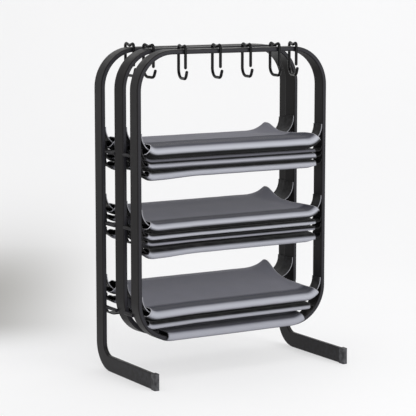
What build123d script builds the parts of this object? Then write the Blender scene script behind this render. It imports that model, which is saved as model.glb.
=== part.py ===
from build123d import *
import os
from dataclasses import dataclass
from math import atan2, cos, degrees, radians, sin, tan

# Hook and sling storage rack, in millimetres.
# X runs across the rack, Y from front to back, Z up from the floor.
# While modelling, X = 0 is the middle of the rack and Y = 0 the front face of the
# front loop; the saved parts are moved so that the whole rack is centred on Y = 0.

# ---------------------------------------------------------------- overall sizes
rack_height = 1100.0            # floor to the top face of the top rails
loop_width = 748.0              # outside width of the front and middle loops
rear_extra_width = 9.0          # how much further out each rear leg stands
loop_bottom = 128.0             # floor to the underside of both closed loops
corner_radius = 135.0           # outside radius of the bent corners

# ---------------------------------------------------------------- flat oval bar
bar_depth = 54.0                # wide face, front to back
bar_thickness = 15.5
bar_edge_radius = 4.5

# ---------------------------------------------------------------- frame layout
mid_gap_left = 53.0             # clear gap from the front loop to the middle loop
mid_gap_right = 124.0           # the middle loop leans back against the rear leg
rear_frame_gap = 2.0            # middle loop to the rear frame, at their closest
foot_reach = 122.0              # how far each foot bar runs in front of Y = 0
foot_bend_radius = 95.0         # outside radius of the bend from leg to foot

# ---------------------------------------------------------------- foot caps
cap_wall = 1.2
cap_length = 20.0
cap_end = 6.0
cap_corner_radius = 5.0
cap_clearance = 0.1

# ---------------------------------------------------------------- frame ties
tie_diameter = 12.0
tie_levels = (752.0, 508.0, 218.0)
tie_reach = 1.8                 # how far a tie is carried past a bar's face before coping
rear_tie_offset = 5.0           # rear ties stand between the two bar widths

# ---------------------------------------------------------------- sling bars
strip_thickness = 3.0
strip_depth = 48.0
strip_tab = 4.0                 # straight end welded to the upright
tight_bend = 12.0               # right-hand bend of every bar under a level hem

# ---------------------------------------------------------------- slings
sheet_thickness = 3.6
middle_bar_gap = 3.5            # middle bar under the sheet that passes over it
hem_front_overhang = 10.0       # hem in front of its bar
hem_back_overhang = 8.0
tunnel_clearance = 0.5
edge_margin = 40.0              # level hems stop this far inside the left upright
edge_margin_right = 20.0        # and this far inside the right one, above the loops' corners
hem_curl_left = 35.0            # degrees that a top hem follows its bar's bend
hem_curl_right = 45.0
rear_curl_left = 34.0
rear_right_margin = 86.0        # top sling's rear hem stops short of its bend
side_scoop = 12.0               # sag of the top sling's right-hand edge

# ---------------------------------------------------------------- hooks
wire_diameter = 10.0
hook_rail_gap = 0.5             # wire to the rail's front and back faces
hook_saddle_gap = 0.4           # wire to the rail's top face
hook_hump = 8.5                 # rise of the two top bends over the saddle
hook_hump_radius = 8.5
saddle_radius = 20.0
hook_drop = 96.5                # rail top to the lowest point of the wire's line
hook_front_end = 60.0           # rail top to the free end of the front limb
hook_tip_reach = 45.0           # rail middle to the upturned tip
hook_tip_drop = 74.0            # rail top to the tip
hook_heel = 11.0                # rise from bottom to tip starts this far inside it
hook_back_radius = 30.0
hook_tip_radius = 18.0


@dataclass
class Sling:
    """One sling: its front bar's height, its hem, its bar's bend and its rear hem's lift."""

    bar_z: float
    hem: float
    bend: float
    rear_lift: float = 0.0


@dataclass
class Tier:
    """A stack of slings that share one slope from front to back."""

    name: str
    rise: float
    slings: tuple
    margin_right: float = edge_margin_right


tiers = (
    Tier("top", 5.0, (Sling(765.0, 42.0, 60.0), Sling(736.0, 12.0, 40.0),
                      Sling(717.0, 22.0, 32.0), Sling(691.0, 26.0, 28.0))),
    Tier("middle", 28.0, (Sling(515.0, 30.0, 60.0, 3.0), Sling(486.5, 18.0, 34.0),
                          Sling(464.0, 14.0, 30.0), Sling(432.0, 30.0, 30.0))),
    Tier("bottom", 42.0, (Sling(224.0, 32.0, 60.0, 13.0), Sling(190.0, 23.0, 30.0)),
         edge_margin),
)

# The lowest sling has its front hem on the front loop's own bottom rail.
rail_hem_low = 9.8              # hem below the rail's middle line
rail_hem_high = 22.0            # hem above it
rail_hem_left = 12.0            # degrees that it follows the loop's corner
rail_hem_right = 26.0
rail_sling = Sling(146.0, 24.0, 30.0)


@dataclass
class Hook:
    """One hook: its name, where it hangs along its rail and its twist."""

    name: str
    x: float
    twist: float


front_hooks = (Hook("hook_front_1", -190.0, 10.0), Hook("hook_front_2", -57.0, 7.0),
               Hook("hook_front_3", 62.0, 7.0), Hook("hook_front_4", 175.5, 5.0),
               Hook("hook_front_5", 250.0, 13.0))
middle_hook = Hook("hook_middle", -252.0, 4.0)
rear_hook = Hook("hook_rear", -260.0, 3.0)

# ---------------------------------------------------------------- worked out
half_loop = loop_width / 2
half_rear = half_loop + rear_extra_width
inner_loop = half_loop - bar_thickness
inner_rear = half_rear - bar_thickness
front_centre_y = bar_depth / 2
rear_frame_y = 2 * bar_depth + mid_gap_right + rear_frame_gap
rear_centre_y = rear_frame_y + bar_depth / 2
skew = degrees(atan2(mid_gap_right - mid_gap_left, loop_width))
mid_centre_y = bar_depth + (mid_gap_left + mid_gap_right) / 2 + bar_depth / 2
mid_place = Location((0, mid_centre_y, 0), (0, 0, skew))
hem_depth = hem_front_overhang + strip_depth + hem_back_overhang
sheet_start = front_centre_y + strip_depth / 2 + tunnel_clearance
sheet_end = rear_centre_y - strip_depth / 2 - tunnel_clearance
corner_z = rack_height - corner_radius
foremost_y = -foot_reach - cap_end
rearmost_y = rear_frame_y + bar_depth + hook_rail_gap + wire_diameter
rack_centre_y = (foremost_y + rearmost_y) / 2


def coped(shape, bars):
    """A shape cut away where it meets the bars, keeping only its largest piece."""
    for bar in bars:
        shape = shape - bar
    return max(shape.solids(), key=lambda piece: piece.volume)


def upright_plane(y):
    """The X-Z plane at depth y, with its second axis along +Z."""
    return Plane(origin=(0, y, 0), x_dir=(1, 0, 0), z_dir=(0, -1, 0))


def side_plane(x):
    """The Y-Z plane at x, with its axes along +Y and +Z."""
    return Plane(origin=(x, 0, 0), x_dir=(0, 1, 0), z_dir=(1, 0, 0))


def extrude_back(face, y, length, slope=0.0):
    """Extrude an X-Z outline from depth y by a length in Y, rising with slope."""
    run = Vector(0, 1, slope)
    placed = upright_plane(y) * face
    return extrude(placed, amount=length * run.length, dir=run.normalized())


def bent_outline(half_width, bottom, top):
    """Outline of a rounded rectangle of bar, seen from the front."""
    height = top - bottom
    outer = RectangleRounded(2 * half_width, height, corner_radius)
    inner_radius = corner_radius - bar_thickness
    inner = RectangleRounded(
        2 * (half_width - bar_thickness), height - 2 * bar_thickness, inner_radius
    )
    return Pos(0, (top + bottom) / 2) * (outer - inner)


def round_bar_edges(solid, keep=()):
    """Round the long edges of a bent bar, leaving those at the kept depths."""
    along = [e for e in solid.edges() if e.geom_type != GeomType.LINE or is_long_edge(e)]
    chosen = [e for e in along if not any(abs(e.center().Y - y) < 0.01 for y in keep)]
    return fillet(chosen, bar_edge_radius)


def is_long_edge(edge):
    """True for a straight edge that runs along the bar, not across its section."""
    across_faces = abs((edge @ 1 - edge @ 0).length - bar_depth) < 0.01
    across_thickness = abs((edge @ 1 - edge @ 0).length - bar_thickness) < 0.01
    return not (across_faces or across_thickness)


def closed_loop():
    """A closed loop of bar, centred on its own depth."""
    ring = bent_outline(half_loop, loop_bottom, rack_height)
    return round_bar_edges(extrude_back(ring, -bar_depth / 2, bar_depth))


def leg_and_foot(x):
    """One rear leg from the corner down, bent forward into its foot."""
    back = rear_frame_y + bar_depth
    bend_y = back - foot_bend_radius
    inner_bend = foot_bend_radius - bar_depth
    outline = make_face(Wire([
        Edge.make_line((back, corner_z), (back, foot_bend_radius)),
        Edge.make_three_point_arc(
            (back, foot_bend_radius),
            (bend_y + foot_bend_radius * cos(radians(45)),
             foot_bend_radius - foot_bend_radius * sin(radians(45))),
            (bend_y, 0)),
        Edge.make_line((bend_y, 0), (-foot_reach, 0)),
        Edge.make_line((-foot_reach, 0), (-foot_reach, bar_depth)),
        Edge.make_line((-foot_reach, bar_depth), (bend_y, bar_depth)),
        Edge.make_three_point_arc(
            (bend_y, bar_depth),
            (bend_y + inner_bend * cos(radians(45)),
             foot_bend_radius - inner_bend * sin(radians(45))),
            (rear_frame_y, foot_bend_radius)),
        Edge.make_line((rear_frame_y, foot_bend_radius), (rear_frame_y, corner_z)),
        Edge.make_line((rear_frame_y, corner_z), (back, corner_z)),
    ]))
    return extrude(side_plane(x - bar_thickness / 2) * outline, amount=bar_thickness)


def rear_frame():
    """The rear frame: one bar bent into an arch whose legs run on into feet."""
    ring = bent_outline(half_rear, -rack_height, rack_height)
    above = Pos(0, corner_z + rack_height / 2) * Rectangle(4 * half_rear, rack_height)
    frame = extrude_back(ring & above, rear_frame_y, bar_depth)
    for side in (-1, 1):
        frame += leg_and_foot(side * (half_rear - bar_thickness / 2))
    return round_bar_edges(frame.clean(), keep=(-foot_reach,))


def foot_cap(side):
    """A cap over the end of one foot, open underneath."""
    width = bar_thickness + 2 * cap_wall
    height = bar_depth + cap_wall
    front = -foot_reach - cap_end
    block = Box(width, cap_length + cap_end, height, align=(Align.CENTER, Align.MIN, Align.MIN))
    front_edges = block.edges().group_by(Axis.Y)[0].filter_by(Axis.Z)
    block = fillet(front_edges, cap_corner_radius)
    block = Pos(side * (half_rear - bar_thickness / 2), front, 0) * block
    socket = Box(bar_thickness + 2 * cap_clearance, 2 * cap_length, bar_depth + cap_clearance,
                 align=(Align.CENTER, Align.MIN, Align.MIN))
    socket = Pos(side * (half_rear - bar_thickness / 2), -foot_reach - cap_clearance, 0) * socket
    return block - socket


def strip_outline(half_width, z_left, z_right, bends, thickness=strip_thickness, tab=strip_tab):
    """Outline of a flat strip bent up at both ends into a shallow U."""
    bend, bend_right = bends
    tilt = atan2(z_right - z_left, 2 * half_width)
    drop = thickness / 2 / cos(tilt)
    sides = []
    for sign in (-1, 1):
        x = half_width if sign < 0 else half_width - thickness
        radii = [bend - sign * thickness / 2, bend_right - sign * thickness / 2]
        shift = sign * drop
        inset = (half_width - x) * tan(tilt)
        left = (-x, z_left + shift + inset)
        right = (x, z_right + shift - inset)
        points = [(-x, z_left + bend + tab), left, right, (x, z_right + bend_right + tab)]
        sides.append(FilletPolyline(*points, radius=radii))
    caps = [Line(sides[0] @ 0, sides[1] @ 0), Line(sides[0] @ 1, sides[1] @ 1)]
    return make_face(sides[0] + sides[1] + caps[0] + caps[1])


def band_outline(half_run, radius, z, low, high, curl_left, curl_right):
    """Outline of a soft band along a bar: a level run, then part of each bend."""
    edges = []
    ends = []
    for side, curl in ((-1, curl_left), (1, curl_right)):
        centre = (side * half_run, z + radius)
        tips = []
        for offset in (low, high):
            reach = radius - offset
            if curl > 0:
                edges.append(CenterArc(centre, reach, -90, side * curl))
            tips.append((centre[0] + side * reach * sin(radians(curl)),
                         centre[1] - reach * cos(radians(curl))))
        ends.append(tips)
    edges.append(Line((-half_run, z + low), (half_run, z + low)))
    edges.append(Line((-half_run, z + high), (half_run, z + high)))
    edges.append(Line(*ends[0]))
    edges.append(Line(*ends[1]))
    return make_face(edges)


def level_band(x_left, x_right, z, low, high):
    """Outline of a straight soft band between two X positions."""
    size = Rectangle(x_right - x_left, high - low, align=(Align.MIN, Align.MIN))
    return Pos(x_left, z + low) * size


def strip(half_width, z, bends, centre_y):
    """One sling bar between the two uprights of a level frame."""
    outline = strip_outline(half_width, z, z, bends)
    return extrude_back(outline, centre_y - strip_depth / 2, strip_depth)


def bends_of(sling, tier):
    """The left and right bend of a sling's bars: wide at both ends only for a top sling."""
    return (sling.bend, sling.bend if sling is tier.slings[0] else tight_bend)


def slope_of(sling, tier):
    """Rise of a sling's sheet for each millimetre of depth."""
    return (tier.rise + sling.rear_lift) / (sheet_end - sheet_start)


def mid_strip(sling, tier, frame):
    """The middle sling bar, which runs just under its sloping sheet."""
    slope = slope_of(sling, tier)
    half = inner_loop * cos(radians(skew))
    swing = inner_loop * sin(radians(skew))
    sheet_low, _ = sheet_offsets(sling)
    middle = sling.bar_z + sheet_low + slope * (mid_centre_y - sheet_start)
    middle -= strip_thickness / 2 + slope * strip_depth / 2 + middle_bar_gap
    z_left = middle - slope * swing
    z_right = middle + slope * swing
    outline = strip_outline(inner_loop, z_left, z_right, bends_of(sling, tier))
    placed = mid_place * extrude_back(outline, -strip_depth / 2, strip_depth)
    return coped(placed, [frame])


def tunnel(half_width, z, bends, centre_y):
    """The sleeve's inside: the bar's own shape with its clearance all round."""
    thickness = strip_thickness + 2 * tunnel_clearance
    outline = strip_outline(half_width + tunnel_clearance, z, z, bends, thickness, 2 * strip_tab)
    depth = strip_depth + 2 * tunnel_clearance
    return extrude_back(outline, centre_y - depth / 2, depth)


def sheet_run(outline, slope):
    """The sheet between the two hems, rising with its tier's slope."""
    return extrude_back(outline, sheet_start, sheet_end - sheet_start, slope)


def sheet_offsets(sling):
    """Lower and upper face of a sheet, flush with its hems' top, above its bars' middle."""
    high = sling.hem / 2
    return high - sheet_thickness, high


def scoop(front_x, rear_x, z, height):
    """The space outside a top sling's hollow right-hand edge."""
    start = front_centre_y + strip_depth / 2 + hem_back_overhang
    end = rear_centre_y - strip_depth / 2 - hem_front_overhang
    middle = ((front_x + rear_x) / 2 - side_scoop, (start + end) / 2)
    curve = ThreePointArc((front_x, start), middle, (rear_x, end))
    outside = 2 * half_rear
    lines = Polyline((rear_x, end), (outside, end), (outside, start), (front_x, start))
    return extrude(Pos(0, 0, z - height) * make_face(curve + lines), amount=2 * height)


def curled_sling(sling, tier):
    """The top sling of a tier, whose hems curl up along the bends of its bars."""
    half = sling.hem / 2
    low, high = sheet_offsets(sling)
    slope = slope_of(sling, tier)
    front_run = inner_loop - strip_thickness / 2 - sling.bend
    rear_run = inner_rear - strip_thickness / 2 - sling.bend
    front = band_outline(front_run, sling.bend, sling.bar_z, -half, half,
                         hem_curl_left, hem_curl_right)
    rear_z = sling.bar_z + tier.rise
    rear = band_outline(rear_run, sling.bend, rear_z, -half, half + sling.rear_lift,
                        rear_curl_left, 0)
    rear_right = inner_rear - rear_right_margin
    beyond = Pos(rear_right, rear_z - 2 * half) * Rectangle(
        rear_run, 4 * half, align=(Align.MIN, Align.MIN))
    sheet = band_outline(front_run, sling.bend, sling.bar_z, low, high,
                         hem_curl_left, hem_curl_right)
    front_right = front_run + (sling.bend - high) * sin(radians(hem_curl_right))
    body = sheet_run(sheet, slope) - scoop(front_right, rear_right, sling.bar_z, 4 * sling.bend)
    body += extrude_back(front, front_centre_y - strip_depth / 2 - hem_front_overhang, hem_depth)
    body += extrude_back(rear - beyond, rear_centre_y - strip_depth / 2 - hem_back_overhang,
                         hem_depth)
    body -= tunnel(inner_loop, sling.bar_z, bends_of(sling, tier), front_centre_y)
    body -= tunnel(inner_rear, rear_z, bends_of(sling, tier), rear_centre_y)
    return body


def level_sling(sling, tier):
    """A lower sling of a tier, with straight hems."""
    half = sling.hem / 2
    low, high = sheet_offsets(sling)
    left, right = edge_margin - inner_loop, inner_loop - tier.margin_right
    rear_z = sling.bar_z + tier.rise
    front = level_band(left, right, sling.bar_z, -half, half)
    rear = level_band(left, right, rear_z, -half, half)
    sheet = level_band(left, right, sling.bar_z, low, high)
    body = sheet_run(sheet, slope_of(sling, tier))
    body += extrude_back(front, front_centre_y - strip_depth / 2 - hem_front_overhang, hem_depth)
    body += extrude_back(rear, rear_centre_y - strip_depth / 2 - hem_back_overhang, hem_depth)
    body -= tunnel(inner_loop, sling.bar_z, bends_of(sling, tier), front_centre_y)
    body -= tunnel(inner_rear, rear_z, bends_of(sling, tier), rear_centre_y)
    return body


def lowest_sling(tier):
    """The lowest sling: its front hem is sleeved on the front loop's bottom rail."""
    line_radius = corner_radius - bar_thickness / 2
    half_run = half_loop - corner_radius
    rail_z = loop_bottom + bar_thickness / 2
    low, high = sheet_offsets(rail_sling)
    front = band_outline(half_run, line_radius, rail_z, -rail_hem_low, rail_hem_high,
                         rail_hem_left, rail_hem_right)
    wall = bar_thickness / 2 + tunnel_clearance
    core = band_outline(half_run, line_radius, rail_z, -wall, wall,
                        rail_hem_left + 10, rail_hem_right + 10)
    left = half_run + line_radius * sin(radians(rail_hem_left))
    right = half_run + line_radius * sin(radians(rail_hem_right))
    rear_z = rail_sling.bar_z + tier.rise
    half = rail_sling.hem / 2
    rear = level_band(-left, right, rear_z, -half, half)
    sheet = level_band(-left, right, rail_sling.bar_z, low, high)
    body = sheet_run(sheet, slope_of(rail_sling, tier))
    hem_start = -tunnel_clearance - hem_back_overhang
    body += extrude_back(front, hem_start, bar_depth - 2 * hem_start)
    body += extrude_back(rear, rear_centre_y - strip_depth / 2 - hem_back_overhang, hem_depth)
    body -= extrude_back(core, -tunnel_clearance, bar_depth + 2 * tunnel_clearance)
    body -= tunnel(inner_rear, rear_z, bends_of(rail_sling, tier), rear_centre_y)
    return body


def hook_shape(twist):
    """A wire hook over a rail whose middle line is the Y-Z origin's height."""
    half_span = (bar_depth / 2 + hook_rail_gap + wire_diameter / 2) / cos(radians(twist))
    saddle = hook_saddle_gap + wire_diameter / 2
    bottom = -hook_drop
    corners = [
        (-half_span, -hook_front_end),
        (-half_span, saddle + hook_hump),
        (0, saddle),
        (half_span, saddle + hook_hump),
        (half_span, bottom),
        (-hook_tip_reach + hook_heel, bottom),
        (-hook_tip_reach, -hook_tip_drop),
    ]
    radii = [hook_hump_radius, saddle_radius, hook_hump_radius, hook_back_radius,
             hook_tip_radius]
    path = FilletPolyline(*corners, radius=radii)
    path = side_plane(0) * path
    start = Plane(origin=path @ 0, z_dir=path % 0)
    wire = sweep(sections=start * Circle(wire_diameter / 2), path=path)
    for end in (path @ 0, path @ 1):
        wire += Pos(*end) * Sphere(wire_diameter / 2)
    return Rot(0, 0, -twist) * wire


def hang_hooks():
    """All hooks, each in its place on the top rail that carries it."""
    placed = {}
    for hook in front_hooks:
        placed[hook.name] = Pos(hook.x, front_centre_y, rack_height) * hook_shape(hook.twist)
    hook = middle_hook
    placed[hook.name] = mid_place * Pos(hook.x, 0, rack_height) * hook_shape(hook.twist)
    hook = rear_hook
    placed[hook.name] = Pos(hook.x, rear_centre_y, rack_height) * hook_shape(hook.twist)
    return placed


def ties(x, spans, bars):
    """Round ties between two frames at each level, coped to the bars they join."""
    group = []
    for side, (face, next_face) in spans.items():
        for level in tie_levels:
            length = next_face - face + 2 * tie_reach
            section = Pos(side * x, level) * Circle(tie_diameter / 2)
            group.append(coped(extrude_back(section, face - tie_reach, length), bars))
    return Compound(group)


def save(name, shape):
    """Write one sub-part to its own file, with the middle of the rack at Y = 0."""
    export_step(Pos(0, -rack_centre_y, 0) * shape, f"parts/{name}.step")


def build():
    """Model every sub-part and return them by name."""
    front = Pos(0, front_centre_y, 0) * closed_loop()
    middle = mid_place * closed_loop()
    rear = rear_frame()
    parts = {"front_loop": front, "middle_loop": middle, "rear_frame": rear}
    parts["foot_cap_left"] = foot_cap(-1)
    parts["foot_cap_right"] = foot_cap(1)

    bar_line = half_loop - bar_thickness / 2
    gaps = {-1: mid_gap_left, 1: mid_gap_right}
    front_spans = {side: (bar_depth, bar_depth + gap) for side, gap in gaps.items()}
    rear_spans = {side: (2 * bar_depth + gap, rear_frame_y) for side, gap in gaps.items()}
    parts["front_ties"] = ties(bar_line, front_spans, (front, middle))
    parts["rear_ties"] = ties(bar_line + rear_tie_offset, rear_spans, (middle, rear))

    for tier in tiers:
        for number, sling in enumerate(tier.slings, start=1):
            name = f"{tier.name}_bar_{number}"
            rear_z = sling.bar_z + tier.rise
            bends = bends_of(sling, tier)
            front_bar = strip(inner_loop, sling.bar_z, bends, front_centre_y)
            parts[f"{name}_front"] = coped(front_bar, [front])
            parts[f"{name}_middle"] = mid_strip(sling, tier, middle)
            parts[f"{name}_rear"] = strip(inner_rear, rear_z, bends, rear_centre_y)
            maker = curled_sling if number == 1 else level_sling
            parts[f"{tier.name}_sling_{number}"] = maker(sling, tier)
    lowest = tiers[-1]
    parts["bottom_bar_3_rear"] = strip(inner_rear, rail_sling.bar_z + lowest.rise,
                                       bends_of(rail_sling, lowest), rear_centre_y)
    parts["bottom_sling_3"] = lowest_sling(lowest)
    parts.update(hang_hooks())
    return parts


os.makedirs("parts", exist_ok=True)
for part_name, part_shape in build().items():
    save(part_name, part_shape)
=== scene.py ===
import logging
import math
from dataclasses import dataclass, field
from enum import Enum

import bpy
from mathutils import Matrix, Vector, noise


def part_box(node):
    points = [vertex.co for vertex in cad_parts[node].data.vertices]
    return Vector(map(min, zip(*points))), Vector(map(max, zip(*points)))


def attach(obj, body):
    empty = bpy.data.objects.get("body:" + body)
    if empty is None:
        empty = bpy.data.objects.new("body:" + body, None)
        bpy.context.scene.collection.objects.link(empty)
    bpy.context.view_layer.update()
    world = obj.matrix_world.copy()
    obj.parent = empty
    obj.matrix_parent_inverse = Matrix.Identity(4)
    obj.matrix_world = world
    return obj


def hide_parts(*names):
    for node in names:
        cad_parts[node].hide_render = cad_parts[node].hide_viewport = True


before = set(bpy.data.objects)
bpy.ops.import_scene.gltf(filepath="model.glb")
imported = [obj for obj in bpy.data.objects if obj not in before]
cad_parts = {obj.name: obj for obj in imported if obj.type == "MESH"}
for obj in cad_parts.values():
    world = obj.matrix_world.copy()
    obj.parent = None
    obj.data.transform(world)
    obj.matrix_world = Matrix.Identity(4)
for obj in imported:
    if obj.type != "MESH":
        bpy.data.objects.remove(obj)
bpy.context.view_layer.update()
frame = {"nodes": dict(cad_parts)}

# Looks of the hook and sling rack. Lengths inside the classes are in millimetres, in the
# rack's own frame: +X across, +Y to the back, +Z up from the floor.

MM = 0.001
ROOT_BODY = "rack"

RAIL_THICKNESS = 15.5       # the loops' flat-oval bar, seen from the front
HALF_STRIP = 1.5            # half a sling bar's thickness
STRIP_EDGE = 24.5           # a sling bar's middle to its edge, with clearance
RAIL_EDGE = 27.5            # the same for the loop's bottom rail
# the tone over the front bar measured from HEM_FRONT is painted shade
HEM_FRONT = 27.0            # a front bar's middle to where the tone over it is measured from
SLEEVE_REACH = 34.0         # a bar's middle to the sleeve's nose
RAIL_SLEEVE_REACH = 35.5
LOWEST_PRESSED = 3.2        # how near the hem's line a pressed sleeve end comes
log = logging.getLogger("rack")


# ------------------------------------------------------------------ small sums


def clamp(value: float, low: float = 0.0, high: float = 1.0) -> float:
    """Hold a value between two limits."""
    return max(low, min(high, value))


def smooth(value: float, start: float, end: float) -> float:
    """Ease from 0 at start to 1 at end.

    Args:
        value: where to read the ease.
        start: the value at which it is 0.
        end: the value at which it is 1.

    Returns:
        The eased share, 0 to 1.
    """
    t = clamp((value - start) / (end - start))
    return t * t * (3 - 2 * t)


def mix(a: float, b: float, share: float) -> float:
    """A value part of the way from a to b."""
    return a + (b - a) * share


def curve_through(points: list[tuple[float, float]], count: int) -> list[tuple[float, float]]:
    """Run a smooth curve through points and space new points evenly along it.

    Args:
        points: the points it goes through, in order.
        count: how many evenly spaced points to return.

    Returns:
        The evenly spaced points, ends included.
    """
    ends = [points[0], *points, points[-1]]
    fine: list[tuple[float, float]] = []
    for a, b, c, d in zip(ends, ends[1:], ends[2:], ends[3:]):
        for step in range(12):
            t = step / 12
            fine.append(tuple(
                0.5 * (2 * q + (r - p) * t + (2 * p - 5 * q + 4 * r - s) * t * t
                       + (3 * q - p - 3 * r + s) * t ** 3)
                for p, q, r, s in zip(a, b, c, d)
            ))
    fine.append(points[-1])
    reach = [0.0]
    for a, b in zip(fine, fine[1:]):
        reach.append(reach[-1] + math.dist(a, b))
    spaced, at = [], 0
    for number in range(count):
        goal = reach[-1] * number / (count - 1)
        while at < len(fine) - 2 and reach[at + 1] < goal:
            at += 1
        span = reach[at + 1] - reach[at]
        share = clamp((goal - reach[at]) / span) if span else 0.0
        spaced.append(tuple(mix(p, q, share) for p, q in zip(fine[at], fine[at + 1])))
    return spaced


# ------------------------------------------------------------------ shader parts


class Board:
    """A node tree with short ways to add nodes and join them."""

    def __init__(self, tree: bpy.types.NodeTree) -> None:
        """Take a node tree and clear it."""
        self.tree = tree
        tree.nodes.clear()

    def add(self, kind: str, values: dict | None = None, **settings: object) -> bpy.types.Node:
        """Add one node.

        Args:
            kind: the node's type, without its ShaderNode prefix.
            values: input name or number to its value or to the socket that feeds it.
            settings: the node's own options.

        Returns:
            The new node.
        """
        known = kind if kind.startswith("Node") else "ShaderNode" + kind
        made = self.tree.nodes.new(known)
        for name, value in settings.items():
            setattr(made, name, value)
        for name, value in (values or {}).items():
            socket = made.inputs[name]
            if isinstance(value, bpy.types.NodeSocket):
                self.tree.links.new(value, socket)
            else:
                socket.default_value = value
        return made

    def math(self, operation: str, a: object, b: object = 0.0, c: object = 0.0,
             hold: bool = False) -> bpy.types.NodeSocket:
        """Add one sum of up to three values.

        Args:
            operation: Blender's name of the sum.
            a: its first value or socket.
            b: its second.
            c: its third.
            hold: keep the result between 0 and 1.

        Returns:
            The result's socket.
        """
        return self.add("Math", {0: a, 1: b, 2: c}, operation=operation,
                        use_clamp=hold).outputs[0]

    def ramp(self, value: object, low: float, high: float) -> bpy.types.NodeSocket:
        """Ease a value from 0 at low to 1 at high, and return the socket."""
        made = self.add("MapRange", {"Value": value, "From Min": low, "From Max": high})
        made.interpolation_type = "SMOOTHSTEP"
        return made.outputs[0]

    def blend(self, share: object, a: object, b: object) -> bpy.types.NodeSocket:
        """Mix two colours by a share.

        Args:
            share: 0 for the first colour, 1 for the second.
            a: the first colour or socket.
            b: the second.

        Returns:
            The mixed colour's socket.
        """
        made = self.add("Mix", data_type="RGBA")
        for socket, value in ((made.inputs[0], share), (made.inputs[6], a), (made.inputs[7], b)):
            if isinstance(value, bpy.types.NodeSocket):
                self.tree.links.new(value, socket)
            else:
                socket.default_value = value
        return made.outputs[2]


class EffectGroups:
    """The shader effects that several finishes share, each built once."""

    def __init__(self) -> None:
        """Build every effect."""
        self.grain = self.fine_grain()
        self.rub = self.edge_rub()
        self.dust_and_top_light = self.dust_and_top_light_film()
        self.weave = self.woven_cloth()

    @staticmethod
    def start(name: str, inputs: dict[str, float],
              outputs: tuple[str, ...]) -> tuple[Board, bpy.types.Node, bpy.types.Node]:
        """Start a group with its named sockets.

        Args:
            name: the group's name.
            inputs: input name to its usual value.
            outputs: the output names.

        Returns:
            The group's board, its input node and its output node.
        """
        tree = bpy.data.node_groups.new(name, "ShaderNodeTree")
        for title, value in inputs.items():
            socket = tree.interface.new_socket(title, in_out="INPUT",
                                               socket_type="NodeSocketFloat")
            socket.default_value = value
        for title in outputs:
            tree.interface.new_socket(title, in_out="OUTPUT", socket_type="NodeSocketFloat")
        board = Board(tree)
        return board, board.add("NodeGroupInput"), board.add("NodeGroupOutput")

    def fine_grain(self) -> bpy.types.NodeTree:
        """The orange peel of a coat or moulding, with slow changes of tone.

        Returns:
            The group, with outputs Height and Tone.
        """
        board, given, result = self.start("fine_grain", {"Scale": 900.0, "Patch Scale": 9.0},
                                          ("Height", "Tone"))
        place = board.add("TexCoord").outputs["Object"]
        peel = board.add("TexNoise", {"Vector": place, "Scale": given.outputs[0], "Detail": 3.0})
        patch = board.add("TexNoise", {"Vector": place, "Scale": given.outputs[1], "Detail": 4.0})
        board.tree.links.new(peel.outputs[0], result.inputs["Height"])
        board.tree.links.new(board.ramp(patch.outputs[0], 0.3, 0.7), result.inputs["Tone"])
        return board.tree

    def edge_rub(self) -> bpy.types.NodeTree:
        """Where handling rubs a hard edge.

        Returns:
            The group, with output Mask.
        """
        board, given, result = self.start("edge_rub", {"Amount": 0.5, "Scale": 60.0}, ("Mask",))
        sharp = board.ramp(board.add("NewGeometry").outputs["Pointiness"], 0.515, 0.60)
        place = board.add("TexCoord").outputs["Object"]
        patch = board.add("TexNoise", {"Vector": place, "Scale": given.outputs[1], "Detail": 5.0})
        broken = board.math("MULTIPLY", sharp, board.ramp(patch.outputs[0], 0.35, 0.65))
        mask = board.math("MULTIPLY", broken, given.outputs[0], hold=True)
        board.tree.links.new(mask, result.inputs["Mask"])
        return board.tree

    def dust_and_top_light_film(self) -> bpy.types.NodeTree:
        """Dust that settles on faces that look up. On the frame's coat its amount is raised so
        that it also stands as a painted highlight on the upper faces.

        Returns:
            The group, with output Mask.
        """
        board, given, result = self.start("dust_and_top_light_film", {"Amount": 0.3, "Scale": 25.0}, ("Mask",))
        up = board.add("SeparateXYZ", {0: board.add("NewGeometry").outputs["Normal"]}).outputs[2]
        place = board.add("TexCoord").outputs["Object"]
        patch = board.add("TexNoise", {"Vector": place, "Scale": given.outputs[1], "Detail": 6.0})
        film = board.math("MULTIPLY", board.ramp(up, 0.35, 0.95),
                          board.ramp(patch.outputs[0], 0.35, 0.7))
        mask = board.math("MULTIPLY", film, given.outputs[0], hold=True)
        board.tree.links.new(mask, result.inputs["Mask"])
        return board.tree

    def woven_cloth(self) -> bpy.types.NodeTree:
        """A plain weave that follows the cloth's own length and width.

        Returns:
            The group, with outputs Height and Tone.
        """
        board, given, result = self.start("woven_cloth", {"Pitch": 0.0016}, ("Height", "Tone"))
        axes = board.add("SeparateXYZ", {0: board.add("UVMap").outputs[0]})
        turn = board.math("DIVIDE", 2 * math.pi, given.outputs[0])
        across = board.math("SINE", board.math("MULTIPLY", axes.outputs[0], turn))
        along = board.math("SINE", board.math("MULTIPLY", axes.outputs[1], turn))
        over = board.math("MULTIPLY", across, along)
        thread = board.math("MULTIPLY_ADD", over, 0.5, 0.5)
        place = board.add("UVMap").outputs[0]
        slub = board.add("TexNoise", {"Vector": place, "Scale": 420.0, "Detail": 3.0})
        height = board.math("MULTIPLY_ADD", slub.outputs[0], 0.6, thread)
        cloud = board.add("TexNoise", {"Vector": place, "Scale": 14.0, "Detail": 5.0})
        speck = board.ramp(slub.outputs[0], 0.3, 0.7)
        tone = board.math("MULTIPLY_ADD", speck, 0.6,
                          board.math("MULTIPLY", board.ramp(cloud.outputs[0], 0.3, 0.7), 0.2))
        board.tree.links.new(height, result.inputs["Height"])
        board.tree.links.new(tone, result.inputs["Tone"])
        return board.tree


Colour = tuple[float, float, float]


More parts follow.
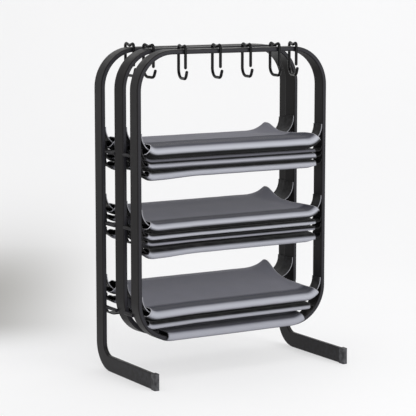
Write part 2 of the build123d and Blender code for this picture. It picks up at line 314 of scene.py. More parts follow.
@dataclass(frozen=True)
class Finish:
    """What every finish has: a name, two tones of its colour and its roughness."""

    name: str
    base: Colour
    second: Colour
    roughness: float
    roughness_spread: float = 0.06
    bump: float = 0.12
    bump_distance: float = 0.0003

    def start(self) -> tuple[bpy.types.Material, Board, bpy.types.Node]:
        """Make an empty material with its shader and output.

        Returns:
            The material, its board and its Principled shader.
        """
        material = bpy.data.materials.new(self.name)
        material.use_nodes = True
        board = Board(material.node_tree)
        shader = board.add("BsdfPrincipled")
        board.add("OutputMaterial", {"Surface": shader.outputs[0]})
        return material, board, shader

    def end(self, board: Board, shader: bpy.types.Node, colour: object, height: object,
            tone: object) -> None:
        """Join a finish's colour, roughness and bump to its shader.

        Args:
            board: the material's board.
            shader: its Principled shader.
            colour: the surface's colour socket.
            height: the surface's fine height.
            tone: the slow change that the roughness follows.
        """
        links = board.tree.links
        links.new(colour, shader.inputs["Base Color"])
        rough = board.math("MULTIPLY_ADD", tone, self.roughness_spread, self.roughness)
        links.new(rough, shader.inputs["Roughness"])
        bump = board.add("Bump", {"Height": height, "Strength": self.bump,
                                  "Distance": self.bump_distance})
        links.new(bump.outputs[0], shader.inputs["Normal"])

    def tones(self, board: Board, share: object) -> bpy.types.NodeSocket:
        """The finish's two tones, mixed by a share."""
        return board.blend(share, (*self.base, 1.0), (*self.second, 1.0))


@dataclass(frozen=True)
class CoatedMetal(Finish):
    """A painted or powder-coated metal with handling wear at its edges and dusty on top. Dusting
    on top and a pale colour on faces that look to the front or back also serve as painted
    highlights: on the frame they stand for the top and frontal light.
    """

    rubbed_and_lit: Colour = (0.12, 0.12, 0.13)
    rub_amount: float = 0.5
    dust_and_top_light_amount: float = 0.12
    grain_scale: float = 900.0
    cut_edges_and_front_light: float = 0.0
    specular: float = 0.5

    def make(self, effects: EffectGroups) -> bpy.types.Material:
        """Build the material.

        Args:
            effects: the shared effects.

        Returns:
            The finished material.
        """
        material, board, shader = self.start()
        shader.inputs["Specular IOR Level"].default_value = self.specular
        grain = board.add("Group", node_tree=effects.grain)
        grain.inputs["Scale"].default_value = self.grain_scale
        rub = board.add("Group", node_tree=effects.rub)
        rub.inputs["Amount"].default_value = self.rub_amount
        dust_and_top_light = board.add("Group", node_tree=effects.dust_and_top_light)
        dust_and_top_light.inputs["Amount"].default_value = self.dust_and_top_light_amount
        colour = self.tones(board, grain.outputs["Tone"])
        # dust on top; with the frame's raised amount this is also a painted highlight on its
        # upper faces
        colour = board.blend(dust_and_top_light.outputs[0], colour, (0.16, 0.155, 0.15, 1.0))
        worn_and_lit = rub.outputs[0]
        # faces that look to the front or back take the edge colour: on the frame a painted
        # highlight where the frontal light falls, on the top sling bars pale edges that are
        # partly painted highlight
        if self.cut_edges_and_front_light:
            facing = board.add("SeparateXYZ", {0: board.add("NewGeometry").outputs["Normal"]})
            sideways = board.ramp(board.math("ABSOLUTE", facing.outputs[1]), 0.85, 0.97)
            worn_and_lit = board.math("MAXIMUM", worn_and_lit, board.math("MULTIPLY", sideways, self.cut_edges_and_front_light))
        colour = board.blend(worn_and_lit, colour, (*self.rubbed_and_lit, 1.0))
        self.end(board, shader, colour, grain.outputs["Height"], grain.outputs["Tone"])
        return material


@dataclass(frozen=True)
class MouldedPlastic(Finish):
    """A matte moulding with a fine leather-like grain."""

    grain_scale: float = 500.0

    def make(self, effects: EffectGroups) -> bpy.types.Material:
        """Build the material.

        Args:
            effects: the shared effects.

        Returns:
            The finished material.
        """
        material, board, shader = self.start()
        grain = board.add("Group", node_tree=effects.grain)
        grain.inputs["Scale"].default_value = self.grain_scale
        rub = board.add("Group", node_tree=effects.rub)
        colour = self.tones(board, grain.outputs["Tone"])
        colour = board.blend(rub.outputs[0], colour, (0.11, 0.11, 0.12, 1.0))
        self.end(board, shader, colour, grain.outputs["Height"], grain.outputs["Tone"])
        return material


@dataclass(frozen=True)
class SlingCloth(Finish):
    """The slings' coated cloth: a plain weave, with painted shade over the sleeves' tops and
    under the slings and a painted highlight on the noses.
    """

    pitch: float = 0.0016
    sleeve_painted_shade: Colour = (0.064, 0.065, 0.085)
    nose_painted_highlight: Colour = (0.43, 0.44, 0.485)
    under_painted_shade: Colour = (0.0012, 0.0012, 0.0015)
    sheen: float = 0.08
    dust_and_top_light_amount: float = 0.1

    def make(self, effects: EffectGroups) -> bpy.types.Material:
        """Build the material.

        Args:
            effects: the shared effects.

        Returns:
            The finished material.
        """
        material, board, shader = self.start()
        shader.inputs["Specular IOR Level"].default_value = 0.1
        shader.inputs["Sheen Weight"].default_value = self.sheen
        shader.inputs["Sheen Roughness"].default_value = 0.5
        weave = board.add("Group", node_tree=effects.weave)
        weave.inputs["Pitch"].default_value = self.pitch
        colour = self.tones(board, weave.outputs["Tone"])
        sleeve = board.add("Attribute", attribute_name="sleeve_top").outputs["Fac"]
        nose = board.add("Attribute", attribute_name="nose").outputs["Fac"]
        # painted shade over the sleeves' tops
        colour = board.blend(sleeve, colour, (*self.sleeve_painted_shade, 1.0))
        # painted highlight on the sleeves' noses, set per sling by face
        colour = board.blend(nose, colour, (*self.nose_painted_highlight, 1.0))
        # painted shade: near-black under and between the slings, under the sling above and over
        # buried slings
        under = board.add("Attribute", attribute_name="underside").outputs["Fac"]
        colour = board.blend(under, colour, (*self.under_painted_shade, 1.0))
        dust_and_top_light = board.add("Group", node_tree=effects.dust_and_top_light)
        dust_and_top_light.inputs["Amount"].default_value = self.dust_and_top_light_amount
        colour = board.blend(dust_and_top_light.outputs[0], colour, (0.2, 0.195, 0.19, 1.0))
        self.end(board, shader, colour, weave.outputs["Height"], weave.outputs["Tone"])
        return material


@dataclass(frozen=True)
class ThreadFinish(Finish):
    """Sewing thread and edge binding, with a fine twist."""

    twist_scale: float = 700.0

    def make(self, effects: EffectGroups) -> bpy.types.Material:
        """Build the material.

        Args:
            effects: the shared effects.

        Returns:
            The finished material.
        """
        material, board, shader = self.start()
        shader.inputs["Sheen Weight"].default_value = 0.3
        grain = board.add("Group", node_tree=effects.grain)
        grain.inputs["Scale"].default_value = self.twist_scale
        colour = self.tones(board, grain.outputs["Tone"])
        self.end(board, shader, colour, grain.outputs["Height"], grain.outputs["Tone"])
        return material


class Wardrobe:
    """Every material of the rack, made once."""

    def __init__(self, effects: EffectGroups) -> None:
        """Make every material from its finish."""
        # frame: the high top amount is painted highlight on the upper faces as well as dust
        self.coat = CoatedMetal(
            "frame_powder_coat", (0.0076, 0.0068, 0.0074), (0.0118, 0.0106, 0.0114), 0.40,
            rubbed_and_lit=(0.040, 0.040, 0.050), rub_amount=0.4, dust_and_top_light_amount=0.34, cut_edges_and_front_light=0.42,
            bump=0.10, specular=0.17).make(effects)
        # top sling bars: pale edges on faces that look to the front or back, partly painted
        # highlight
        self.strip = CoatedMetal(
            "sling_bar_coat", (0.0070, 0.0064, 0.0067), (0.011, 0.010, 0.0105), 0.40,
            rubbed_and_lit=(0.34, 0.34, 0.37), rub_amount=0.05, dust_and_top_light_amount=0.05, cut_edges_and_front_light=0.8,
            bump=0.10, specular=0.17).make(effects)
        # level slings' bars: a darker copy of the sling bar coat, painted shade for bars hidden
        # under the slings
        self.level_strip_painted_shade = CoatedMetal(
            "level_bar_coat_painted_shade", (0.0050, 0.0046, 0.0050), (0.0080, 0.0074, 0.0078), 0.45,
            rubbed_and_lit=(0.05, 0.05, 0.055), rub_amount=0.05, dust_and_top_light_amount=0.05, cut_edges_and_front_light=0.15,
            bump=0.10, specular=0.12).make(effects)
        self.enamel = CoatedMetal(
            "hook_gloss_coat", (0.0022, 0.0022, 0.0024), (0.0042, 0.0042, 0.0046), 0.2,
            rubbed_and_lit=(0.03, 0.03, 0.034), rub_amount=0.2, dust_and_top_light_amount=0.02,
            grain_scale=500.0, bump=0.04, specular=0.18).make(effects)
        self.cap = MouldedPlastic(
            "cap_plastic", (0.0095, 0.0095, 0.0115), (0.014, 0.014, 0.017), 0.6,
            bump=0.2).make(effects)
        self.cloth = SlingCloth(
            "sling_cloth", (0.190, 0.190, 0.222), (0.245, 0.245, 0.285), 0.72,
            roughness_spread=0.12, bump=0.28, bump_distance=0.0004).make(effects)
        self.binding = ThreadFinish(
            "edge_binding", (0.42, 0.42, 0.46), (0.56, 0.56, 0.6), 0.6, bump=0.25).make(effects)
        # level slings' binding: a dark copy of the edge binding, painted shade at the sleeves'
        # mouths
        self.binding_painted_shade = ThreadFinish(
            "level_edge_binding_painted_shade", (0.028, 0.028, 0.034), (0.045, 0.045, 0.054), 0.7,
            bump=0.25).make(effects)
        # the cloth's inner side: near-black, painted shade inside the sleeves and between the
        # slings
        self.backing_painted_shade = SlingCloth(
            "sling_backing_painted_shade", (0.006, 0.006, 0.007), (0.010, 0.010, 0.0115), 0.8, sheen=0.02,
            sleeve_painted_shade=(0.006, 0.006, 0.007), nose_painted_highlight=(0.008, 0.008, 0.009),
            bump=0.2).make(effects)
        self.thread = ThreadFinish(
            "sewing_thread", (0.19, 0.19, 0.21), (0.26, 0.26, 0.29), 0.6, bump=0.2).make(effects)


# ------------------------------------------------------------------ studio


@dataclass
class Studio:
    """The camera, the pale sweep behind the rack, and the soft lights."""

    azimuth: float = -31.08
    elevation: float = 7.92
    eye: tuple[float, float, float] = (-3.05515, -4.97791, 1.36249)
    lens: float = 148.74
    # the sweep's glow, painted light
    floor_glow: float = 1.12

    def direction(self, azimuth: float, elevation: float) -> Vector:
        """The way from the rack to a place at this azimuth and elevation."""
        a, e = math.radians(azimuth), math.radians(elevation)
        return Vector((math.sin(a) * math.cos(e), -math.cos(a) * math.cos(e), math.sin(e)))

    def camera(self) -> None:
        """Make the camera."""
        data = bpy.data.cameras.new("eye")
        data.lens = self.lens
        data.sensor_width = 36.0
        data.clip_end = 100.0
        made = bpy.data.objects.new("eye", data)
        bpy.context.scene.collection.objects.link(made)
        made.location = self.eye
        made.rotation_mode = "QUATERNION"
        made.rotation_quaternion = self.direction(
            self.azimuth, self.elevation).to_track_quat("Z", "Y")
        bpy.context.scene.camera = made
        log.info("camera at azimuth %.1f, elevation %.1f", self.azimuth, self.elevation)

    def panel(self, name: str, azimuth: float, elevation: float, distance: float,
              size: float, power: float, tint: Colour = (1.0, 1.0, 1.0)) -> None:
        """Hang one soft panel light that looks at the rack.

        Args:
            name: the light's name.
            azimuth: its direction around the rack, in degrees.
            elevation: its height angle, in degrees.
            distance: how far it is, in metres.
            size: its side, in metres.
            power: its power, in watts.
            tint: its colour.
        """
        data = bpy.data.lights.new(name, "AREA")
        data.energy, data.size, data.color = power, size, tint
        made = bpy.data.objects.new(name, data)
        bpy.context.scene.collection.objects.link(made)
        away = self.direction(azimuth, elevation)
        made.location = away * distance + Vector((0, 0, 0.5))
        made.rotation_mode = "QUATERNION"
        made.rotation_quaternion = away.to_track_quat("Z", "Y")

    def sweep(self) -> None:
        """Make the floor that curves up into a backdrop."""
        run = [(-7.0, 0.0), (2.6, 0.0)]
        run += [(2.6 + 1.6 * math.sin(math.radians(a)), 1.6 - 1.6 * math.cos(math.radians(a)))
                for a in range(6, 91, 6)]
        run.append((4.2, 7.0))
        turn = math.radians(self.azimuth)
        verts, faces = [], []
        for depth, height in run:
            for across in (-9.0, 9.0):
                verts.append((across * math.cos(turn) - depth * math.sin(turn),
                              across * math.sin(turn) + depth * math.cos(turn), height))
        for row in range(len(run) - 1):
            faces.append((2 * row, 2 * row + 1, 2 * row + 3, 2 * row + 2))
        mesh = bpy.data.meshes.new("sweep")
        mesh.from_pydata(verts, [], faces)
        mesh.shade_smooth()
        made = bpy.data.objects.new("sweep", mesh)
        bpy.context.scene.collection.objects.link(made)
        material = bpy.data.materials.new("pale_sweep")
        material.use_nodes = True
        board = Board(material.node_tree)
        patch = board.add("TexNoise", {"Vector": board.add("TexCoord").outputs["Object"],
                                       "Scale": 0.8, "Detail": 2.0})
        colour = board.blend(patch.outputs[0], (0.455, 0.455, 0.458, 1), (0.47, 0.47, 0.472, 1))
        # painted shade: a soft dark patch on the far left of the sweep
        colour = board.blend(self.painted_corner_shade(board), colour, (0.20, 0.197, 0.188, 1))
        # the sweep glows by its emission: painted light that lifts it to near-white and softens
        # the rack's shadows on it
        shader = board.add("BsdfPrincipled", {"Base Color": colour, "Roughness": 0.75,
                                              "Specular IOR Level": 0.15,
                                              "Emission Color": colour,
                                              "Emission Strength": self.floor_glow})
        see_through = board.add("MixShader", {
            0: board.add("NewGeometry").outputs["Backfacing"],
            1: shader.outputs[0], 2: board.add("BsdfTransparent").outputs[0]})
        board.add("OutputMaterial", {"Surface": see_through.outputs[0]})
        mesh.materials.append(material)

    def painted_corner_shade(self, board: Board) -> bpy.types.NodeSocket:
        """A soft shade painted at the far left of the sweep, standing in for the panels' light
        not reaching there.

        Args:
            board: the sweep material's board.

        Returns:
            The shade's mask.
        """
        turn = math.radians(self.azimuth)
        place = board.add("SeparateXYZ", {0: board.add("TexCoord").outputs["Object"]})
        x, y = place.outputs[0], place.outputs[1]
        across = board.math("ADD", board.math("MULTIPLY", x, math.cos(turn)),
                            board.math("MULTIPLY", y, math.sin(turn)))
        depth = board.math("ADD", board.math("MULTIPLY", x, -math.sin(turn)),
                           board.math("MULTIPLY", y, math.cos(turn)))
        beside = board.ramp(across, -0.35, -1.05)
        behind = board.ramp(depth, 0.15, 0.75)
        near = board.ramp(depth, 3.6, 1.2)
        return board.math("MULTIPLY", board.math("MULTIPLY", beside, behind), near, hold=True)

    def build(self) -> None:
        """Make the whole studio."""
        self.camera()
        self.sweep()
        self.panel("key", 24.0, 22.0, 5.0, 3.0, 95.0)
        self.panel("front_fill", -20.0, 10.0, 6.5, 3.4, 70.0, (0.97, 0.98, 1.0))
        self.panel("top_fill", 0.0, 88.0, 3.6, 3.2, 16.0)
        world = bpy.data.worlds.new("studio")
        world.use_nodes = True
        world.node_tree.nodes["Background"].inputs[0].default_value = (1, 1, 1, 1)
        world.node_tree.nodes["Background"].inputs[1].default_value = 0.62
        bpy.context.scene.world = world
        bpy.context.scene.view_settings.view_transform = "Standard"


# ------------------------------------------------------------------ frame and hooks


@dataclass
class MetalWork:
    """The rack's frames, sling bars, ties, caps and hooks, which keep their CAD shapes."""

    nodes: dict[str, bpy.types.Object]

    def finish_of(self, name: str, wardrobe: Wardrobe) -> bpy.types.Material | None:
        """The material of one CAD node, or None for a sling."""
        if name.startswith("hook"):
            return wardrobe.enamel
        if name.startswith("foot_cap"):
            return wardrobe.cap
        if "_bar_1_" in name:
            return wardrobe.strip
        # level bars take the darker copy of the bar coat: painted shade
        if "_bar_" in name:
            return wardrobe.level_strip_painted_shade
        if "_sling_" in name:
            return None
        return wardrobe.coat

    def dress(self, wardrobe: Wardrobe) -> None:
        """Give every metal and plastic node its finish.

        Args:
            wardrobe: the rack's materials.
        """
        for name, node in sorted(self.nodes.items()):
            material = self.finish_of(name, wardrobe)
            if material is None:
                continue
            node.data.materials.clear()
            node.data.materials.append(material)
            log.info("%s wears %s", name, material.name)


# ------------------------------------------------------------------ slings


class SlingKind(Enum):
    """How a sling's ends are made."""

    CURLED = "curled up along its bars' bends"
    LEVEL = "level hems, curled up along the bars' left-hand bend"
    RAIL = "front hem on the loop's bottom rail"


@dataclass
class HemLine:
    """The line that a hem follows: a level run with part of a bend at each end."""

    left: float
    right: float
    height: float
    radius: float = 60.0
    curl_left: float = 0.0
    curl_right: float = 0.0

    def at(self, share: float, offset: float) -> tuple[float, float]:
        """A point of the line, moved off it.

        Args:
            share: how far along, 0 at the left end and 1 at the right.
            offset: how far above the line, square to it.

        Returns:
            Its X and Z.
        """
        arc_left = self.radius * math.radians(self.curl_left)
        arc_right = self.radius * math.radians(self.curl_right)
        run = share * (arc_left + self.left + self.right + arc_right) - arc_left
        if run < 0:
            turn, side, centre = -run / self.radius, -1, -self.left
        elif run > self.left + self.right:
            turn, side, centre = (run - self.left - self.right) / self.radius, 1, self.right
        else:
            return run - self.left, self.height + offset
        reach = self.radius - offset
        return (centre + side * reach * math.sin(turn),
                self.height + self.radius - reach * math.cos(turn))


@dataclass
class SleeveShape:
    """The section of the sleeve around a bar: its front or back edge and its half height."""

    nose: float
    seam: float
    half: float
    bar_edge: float
    bar_half: float = 2.2

    def outline(self) -> list[tuple[float, float]]:
        """Points from the seam under the sheet, round the bar and over the nose.

        Returns:
            Depth and height of each point off the hem's line.
        """
        way = 1 if self.seam > self.nose else -1
        half = self.half
        round_off = min(1.15 * half + 3.0, 0.42 * abs(self.seam - self.nose))
        points = [
            (self.seam, half - 3.3),
            (self.seam - way * 0.6, min(half - 4.6, 0.15 * half)),
            (self.bar_edge + way * 2.6, -self.bar_half - 0.15 * half),
            (self.bar_edge - way * 5.0, -0.86 * half - 0.2),
            (mix(self.nose, self.seam, 0.5), -half - 0.5),
        ]
        for step in range(-90, 91, 18):
            a = math.radians(step)
            points.append((self.nose + way * round_off * (1 - math.cos(a)),
                           half * math.sin(a)))
        return points


@dataclass
class Sling:
    """One fabric sling: sleeves on its front and rear bars, with the sheet between them.

    Lengths are in millimetres and angles in degrees. The painted tones are shading laid into the
    cloth's colour and set for each sling, so they do not follow the lights.

    Attributes:
        bend: radius of the bars' left-hand bend, which a curled hem follows.
        rear_lift: how much higher the sheet ends at the back.
        flare: rise of the back right corner.
        recess: how far the nose sits back.
        droop: sag at the left.
        nose_cut: how far the nose stops short at the right.
        curl: how far round its bend a level hem goes at the left.
        slant: how much of a level sleeve's lower half is pressed up at its ends.
        crease: height of the fold across the sheet.
        dark_until: painted tone, how far back the band over the front bar goes.
        face: painted tone, brightness of the nose.
        covered: painted tone, whether the sling above shades the sleeve's top.
        buried: painted tone, shade over the whole sling.
        tone_shift: painted tone, how far up the nose the tones are moved.
        dark_below: painted tone, level at which the underside's shade starts.
    """

    name: str
    bars: str
    kind: SlingKind = SlingKind.LEVEL
    bend: float = 30.0
    rear_lift: float = 0.0
    flare: float = 0.0
    recess: float = 0.0
    droop: float = 0.0
    dark_until: float = 62.0
    nose_cut: float = 10.0
    curl: float = 38.0
    slant: float = 0.82
    face: float = 1.0
    covered: bool = True
    buried: float = 0.0
    tone_shift: float = 0.0
    dark_below: float = -0.55
    crease: float = 0.0
    stations: int = 84
    rows: int = 118
    thickness: float = 2.8
    seed: float = 0.0
    front: HemLine = field(init=False)
    rear: HemLine = field(init=False)
    half: float = field(init=False)
    front_y: float = field(init=False)
    rear_y: float = field(init=False)

    def __post_init__(self) -> None:
        """Take the bars' places from the CAD frame."""
        low, high = (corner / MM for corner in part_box(self.name))
        rail_low, rail_high = (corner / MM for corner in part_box("front_loop"))
        bar_low, bar_high = (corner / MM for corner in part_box(self.bars + "_rear"))
        rear_z = bar_low.z + HALF_STRIP
        self.front_y = (rail_low.y + rail_high.y) / 2
        self.rear_y = (bar_low.y + bar_high.y) / 2
        inner = rail_high.x - RAIL_THICKNESS
        if self.kind is SlingKind.RAIL:
            self.half = 15.9
            line_radius = 127.25
            height = rail_low.z + 7.75 + 6.1
            self.front = HemLine(239.0, 239.0, height, line_radius - 6.1, 12.0, 26.0)
            self.rear = HemLine(-low.x, high.x, rear_z - 4.0)
            return
        front_low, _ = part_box(self.bars + "_front")
        bar_z = front_low.z / MM + HALF_STRIP
        self.half = bar_z - low.z
        if self.kind is SlingKind.CURLED:
            run = inner - HALF_STRIP - self.bend
            rear_run = bar_high.x - HALF_STRIP - self.bend
            self.front = HemLine(run, run, bar_z, self.bend, 35.0, 45.0)
            self.rear = HemLine(rear_run, bar_high.x - 86.0, rear_z, self.bend, 34.0, 0.0)
        else:
            run = min(-low.x, inner - HALF_STRIP - self.bend)
            self.front = HemLine(run, high.x, bar_z, self.bend, self.curl)
            self.rear = HemLine(run, high.x, rear_z, self.bend, self.curl)

    @property
    def cloth_half(self) -> float:
        """Half height of a sleeve, to the middle of the cloth."""
        return self.half - self.thickness / 2

    @property
    def on_rail(self) -> bool:
        """True for the lowest sling."""
        return self.kind is SlingKind.RAIL

    def path(self) -> list[tuple[float, float]]:
        """The cloth's line from the front seam to the rear seam.

        Returns:
            Depth from the front bar's middle and height off the hem's line.
        """
        gap = self.rear_y - self.front_y
        reach = SLEEVE_REACH if not self.on_rail else RAIL_SLEEVE_REACH
        grip = STRIP_EDGE if not self.on_rail else RAIL_EDGE
        bar_half = 2.2 if not self.on_rail else 8.4
        half = self.cloth_half
        front = SleeveShape(-reach + self.recess + 1.5, 32.0 if not self.on_rail else 35.0,
                            half, grip, bar_half).outline()
        rear = SleeveShape(gap + 32.5, gap - 30.5, half, gap - STRIP_EDGE,
                           2.2 if not self.on_rail else 4.0).outline()
        middle = [(depth, half) for depth in (34.0, 60.0, 90.0, 120.0, 150.0, 180.0, gap - 30.0)]
        return curve_through(front + middle + rear[::-1], self.rows)

    def place(self, share: float, depth: float, offset: float) -> Vector:
        """Where a point of the cloth lies.

        Args:
            share: how far across, 0 to 1.
            depth: how far behind the front bar's middle.
            offset: height off the hem's line.

        Returns:
            The point, in metres.
        """
        gap = self.rear_y - self.front_y
        w = clamp((depth - STRIP_EDGE) / (gap - 2 * STRIP_EDGE))
        top = clamp((offset + self.half) / (2 * self.half))
        fx, fz = self.front.at(share, offset)
        rx, rz = self.rear.at(share, offset + self.rear_lift * top)
        x, z = mix(fx, rx, w), mix(fz, rz, w)
        if self.kind is SlingKind.CURLED:
            x -= 12.0 * 4 * w * (1 - w) * smooth(share, 0.75, 1.0)
        else:
            x -= self.nose_cut * smooth(-depth, -24.0, 34.0) * smooth(share, 0.80, 1.0)
            if self.kind is SlingKind.LEVEL and offset < 0.0:
                lift = self.slant * (smooth(x, 296.0, 338.0) + smooth(-x, 318.0, 344.0))
                z += lift * max(0.0, -LOWEST_PRESSED - offset)
        corner = clamp((rx - 214.0) / 68.0) ** 2 * smooth(w, 0.50, 1.0)
        z += self.flare * top * corner * mix(1.0, 0.25, smooth(depth, gap - 14.0, gap + 32.0))
        hang = smooth(-x, 130.0, 320.0) * smooth(-w, -0.45, 0.0)
        z -= self.droop * hang * mix(1.0, clamp((self.half - 6.0) / 16.0), top)
        z += self.crease * math.exp(-(((depth + HEM_FRONT) - 110.0) / 7.0) ** 2) * top
        open_sheet = smooth(w, 0.10, 0.22) * smooth(-w, -0.95, -0.85)
        z -= 1.3 * open_sheet * math.sin(2 * math.pi * w) ** 2
        ripple = noise.noise(Vector((x / 55.0, depth / 38.0, self.seed)))
        fold = noise.noise(Vector(((x + 0.8 * depth) / 26.0, depth / 90.0, self.seed + 7.0)))
        ends = smooth(abs(x), 190.0, 320.0)
        z += (0.45 + 0.75 * open_sheet) * ripple + 0.8 * ends * open_sheet * fold
        return Vector((x, self.front_y + depth, z)) * MM

    def cloth(self) -> bpy.types.Object:
        """Build the cloth's surface with its painted shade and highlight masks and its thickness.

        Returns:
            The cloth object.
        """
        path = self.path()
        gap = self.rear_y - self.front_y
        reach = [0.0]
        for a, b in zip(path, path[1:]):
            reach.append(reach[-1] + math.dist(a, b))
        self.length = reach[-1]
        verts, sleeve, nose, under, uvs = [], [], [], [], []
        for number in range(self.stations + 1):
            share = number / self.stations
            for (depth, offset), run in zip(path, reach):
                point = self.place(share, depth, offset)
                verts.append(point)
                # sleeve_top: painted shade over the top of the front sleeve, back as far as
                # dark_until
                over = smooth(offset, 0.2 * self.half, 0.9 * self.half)
                ahead = smooth(-(depth + HEM_FRONT), -self.dark_until - 5.0,
                               -self.dark_until + 5.0)
                level = offset / self.half - self.tone_shift
                tip = smooth(-depth, 20.0, 32.0)
                face = max(tip, smooth(depth - gap, 20.0, 32.0))
                sleeve.append(over * ahead * (1 - tip))
                # nose: painted highlight on the front and rear noses, where the frontal light
                # falls
                bright = smooth(level, -0.9, -0.2) * (1 - 0.6 * smooth(level, 0.55, 1))
                nose.append(self.face * face * bright)
                # underside: painted shade below the noses, under the sling above (covered) and
                # over a whole buried sling
                covered = smooth(level, 0.25, 0.8) * ahead if self.covered else 0.0
                below = 1 - smooth(level, self.dark_below - 0.4, self.dark_below)
                under.append(max(self.buried, covered, below))
                uvs.append((point.x, run * MM))
        rows = self.rows
        faces = [(s * rows + r, (s + 1) * rows + r, (s + 1) * rows + r + 1, s * rows + r + 1)
                 for s in range(self.stations) for r in range(rows - 1)]
        mesh = bpy.data.meshes.new(self.name + "_cloth")
        mesh.from_pydata(verts, [], faces)
        layer = mesh.uv_layers.new(name="cloth")
        for loop in mesh.loops:
            layer.data[loop.index].uv = uvs[loop.vertex_index]
        masks = (("sleeve_top", sleeve), ("nose", nose), ("underside", under))
        for title, values in masks:
            attribute = mesh.attributes.new(title, "FLOAT", "POINT")
            attribute.data.foreach_set("value", values)
        mesh.shade_smooth()
        made = bpy.data.objects.new(self.name + "_cloth", mesh)
        bpy.context.scene.collection.objects.link(made)
        skin = made.modifiers.new("thickness", "SOLIDIFY")
        skin.thickness = self.thickness * MM
        skin.offset = 0.0
        skin.material_offset = 1
        return made

    def tube(self, name: str, lines: list[list[Vector]], radius: float,
             sides: int = 8) -> bpy.types.Object:
        """Build round cord along lines of points.

        Args:
            name: the piece's name.
            lines: the points of each length of cord, in metres.
            radius: the cord's radius, in millimetres.
            sides: how many sides its section has.

        Returns:
            The cord object.
        """
        verts, faces = [], []
        for line in lines:
            first = len(verts)
            for number, point in enumerate(line):
                ahead = line[min(number + 1, len(line) - 1)]
                way = (ahead - line[max(number - 1, 0)]).normalized()
                side = way.orthogonal() if abs(way.x) > 0.9 else way.cross(Vector((1, 0, 0)))
                side.normalize()
                up = way.cross(side)
                end = number in (0, len(line) - 1)
                girth = radius * MM * (0.55 if end else 1.0)
                for corner in range(sides):
                    a = 2 * math.pi * corner / sides
                    verts.append(point + girth * (side * math.cos(a) + up * math.sin(a)))
            for ring in range(len(line) - 1):
                for corner in range(sides):
                    a = first + ring * sides + corner
                    b = first + ring * sides + (corner + 1) % sides
                    faces.append((a, b, b + sides, a + sides))
            faces.append(tuple(first + corner for corner in reversed(range(sides))))
            last = first + (len(line) - 1) * sides
            faces.append(tuple(last + corner for corner in range(sides)))
        mesh = bpy.data.meshes.new(name)
        mesh.from_pydata(verts, [], faces)
        mesh.shade_smooth()
        made = bpy.data.objects.new(name, mesh)
        bpy.context.scene.collection.objects.link(made)
        return made

    def binding(self) -> bpy.types.Object:
        """Build the binding along both side edges of the cloth."""
        path = self.path()
        lines = [[self.place(share, depth, offset) for depth, offset in path]
                 for share in (0.0, 1.0)]
        return self.tube(self.name + "_binding", lines, 1.5)

    def stitching(self) -> bpy.types.Object:
        """Build the rows of stitches that close both sleeves and edge the sheet."""
        lines: list[list[Vector]] = []
        gap = self.rear_y - self.front_y
        lift = self.cloth_half + self.thickness / 2 + 0.25
        width = self.front.at(1.0, 0.0)[0] - self.front.at(0.0, 0.0)[0]
        for depth in (30.5, gap - 29.0):
            count = int(width / 7.0)
            for number in range(1, count):
                share = number / count
                lines.append([self.place(share + t * 2.1 / width, depth, lift - 0.35 * abs(t))
                              for t in (-1.0, 0.0, 1.0)])
        for share in (9.0 / width, 1.0 - 9.0 / width):
            for number in range(1, int((gap - 66.0) / 7.0)):
                depth = 33.0 + 7.0 * number
                lines.append([self.place(share, depth + 2.1 * t, lift - 0.35 * abs(t))
                              for t in (-1.0, 0.0, 1.0)])
        return self.tube(self.name + "_stitching", lines, 0.5, 5)

    def build(self, wardrobe: Wardrobe) -> None:
        """Args:
            wardrobe: the rack's materials.
        """
        cloth, binding, stitching = self.cloth(), self.binding(), self.stitching()
        curled = self.kind is SlingKind.CURLED
        # level slings take the dark binding copy: painted shade
        edge = wardrobe.binding if curled else wardrobe.binding_painted_shade
        for piece, material in ((cloth, wardrobe.cloth), (binding, edge),
                                (stitching, wardrobe.thread)):
            piece.data.materials.append(material)
            # the cloth's inner side takes the near-black backing: painted shade
            if piece is cloth:
                piece.data.materials.append(wardrobe.backing_painted_shade)
            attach(piece, ROOT_BODY)
        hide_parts(self.name)
        width = (self.front.at(1.0, 0.0)[0] - self.front.at(0.0, 0.0)[0]) * MM
        log.info("%s: cloth %.3f by %.3f m, %s", self.name, width, self.length * MM,
                 self.kind.value)


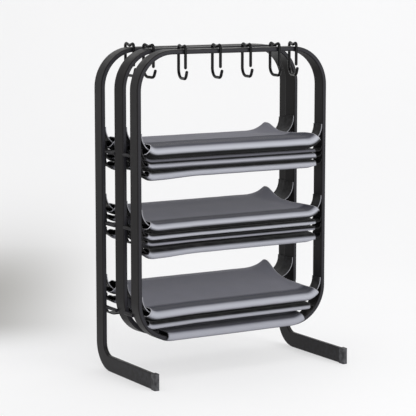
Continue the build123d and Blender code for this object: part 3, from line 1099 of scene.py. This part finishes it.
@dataclass
class SlingTiers:
    """All slings, tier by tier from the top."""

    slings: tuple[Sling, ...] = field(default_factory=lambda: (
        Sling("top_sling_1", "top_bar_1", SlingKind.CURLED, 60.0, flare=31.0, droop=1.5,
              dark_until=112.0, crease=1.6, seed=1.0, covered=False, dark_below=0.05),
        Sling("top_sling_2", "top_bar_2", bend=40.0, recess=6.0, seed=2.0, face=0.0,
              buried=0.45, covered=False, tone_shift=0.45, dark_below=-0.5),
        Sling("top_sling_3", "top_bar_3", bend=32.0, droop=1.0, seed=3.0, face=0.66,
              tone_shift=0.55, dark_below=-0.45),
        Sling("top_sling_4", "top_bar_4", bend=28.0, droop=7.0, seed=4.0, face=0.66),
        Sling("middle_sling_1", "middle_bar_1", SlingKind.CURLED, 60.0, 3.0, 31.0, droop=3.0,
              seed=5.0, face=0.88, covered=False, tone_shift=0.2, dark_below=-0.2),
        Sling("middle_sling_2", "middle_bar_2", bend=34.0, droop=3.0, seed=6.0, face=0.8,
              tone_shift=-0.3, dark_below=-0.9),
        Sling("middle_sling_3", "middle_bar_3", recess=5.0, droop=3.0, seed=7.0, face=0.36,
              tone_shift=-0.4, dark_below=-0.8),
        Sling("middle_sling_4", "middle_bar_4", droop=7.0, seed=8.0, face=0.6,
              tone_shift=-0.2),
        Sling("bottom_sling_1", "bottom_bar_1", SlingKind.CURLED, 60.0, 13.0, 31.0, droop=4.0,
              seed=9.0, face=0.78, covered=False, tone_shift=0.1, dark_below=-0.6),
        Sling("bottom_sling_2", "bottom_bar_2", droop=4.0, seed=10.0, face=0.6,
              tone_shift=-0.3, dark_below=-0.8),
        Sling("bottom_sling_3", "bottom_bar_3", SlingKind.RAIL, seed=11.0, face=0.5,
              covered=False),
    ))

    def build(self, wardrobe: Wardrobe) -> None:
        """Build every sling.

        Args:
            wardrobe: the rack's materials.
        """
        for sling in self.slings:
            sling.build(wardrobe)


def main() -> None:
    """Build the studio, the metalwork and the slings in order."""
    logging.basicConfig(level=logging.INFO, format="%(name)s: %(message)s")
    Studio().build()
    wardrobe = Wardrobe(EffectGroups())
    MetalWork(frame["nodes"]).dress(wardrobe)
    SlingTiers().build(wardrobe)


if __name__ == "__main__":
    main()
